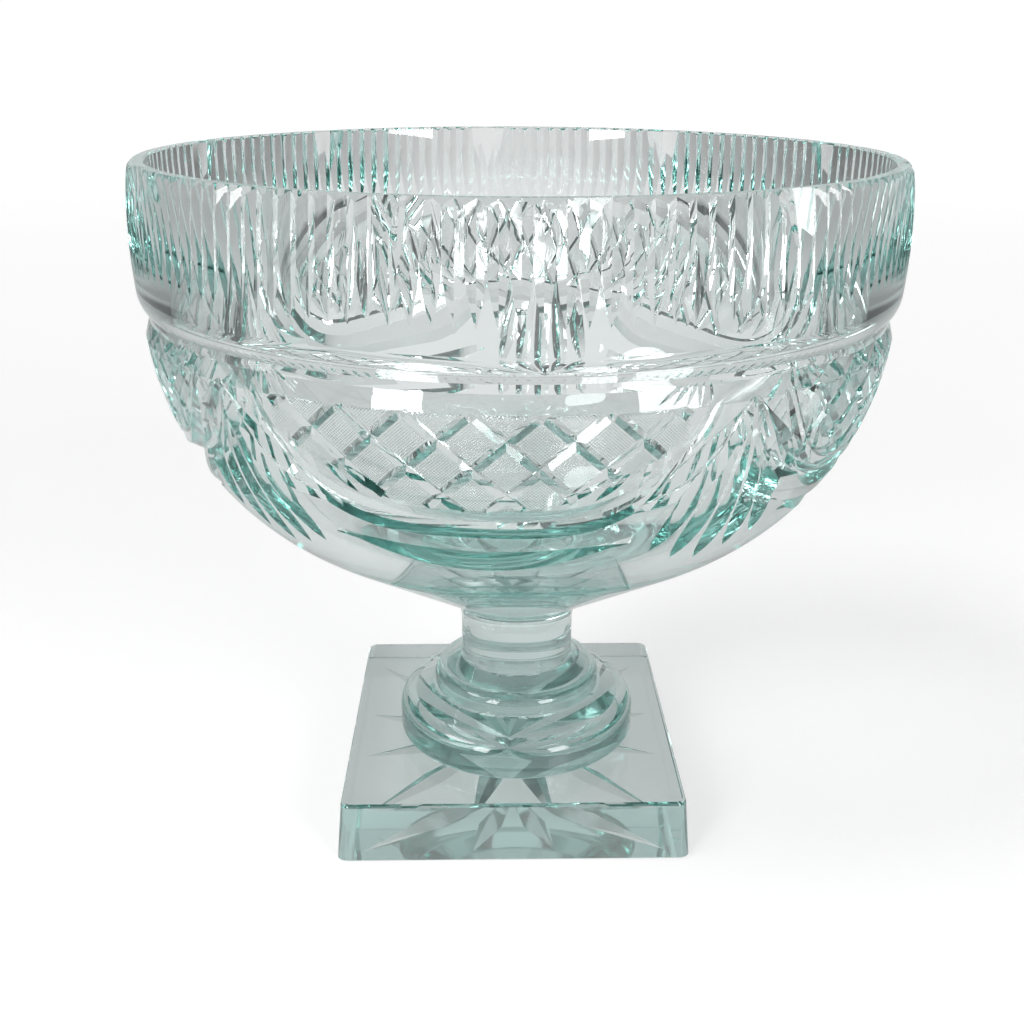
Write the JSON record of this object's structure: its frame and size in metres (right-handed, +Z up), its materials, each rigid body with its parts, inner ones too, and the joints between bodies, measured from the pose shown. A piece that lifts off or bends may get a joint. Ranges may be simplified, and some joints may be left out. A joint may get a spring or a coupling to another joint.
{
  "type": "punch bowl",
  "caption": "Round cut-glass pedestal punch bowl with a fluted band, swags of raised diamonds and fans, on a short stem, two round steps and a square star-cut plinth.",
  "frame": {"origin": "on the bowl's axis, at the plinth's underside, on the table", "axes": "+Z up along the bowl's axis, -Y towards the viewer, +X to the viewer's right"},
  "size_m": [0.2534, 0.2534, 0.236],
  "materials": {
    "glass": "polished clear glass with a pale aqua tint"
  },
  "bodies": {
    "root": {"bowl": "glass", "stem": "glass", "upper_ring": "glass", "domed_step": "glass", "plinth": "glass"}
  },
  "joints": []
}
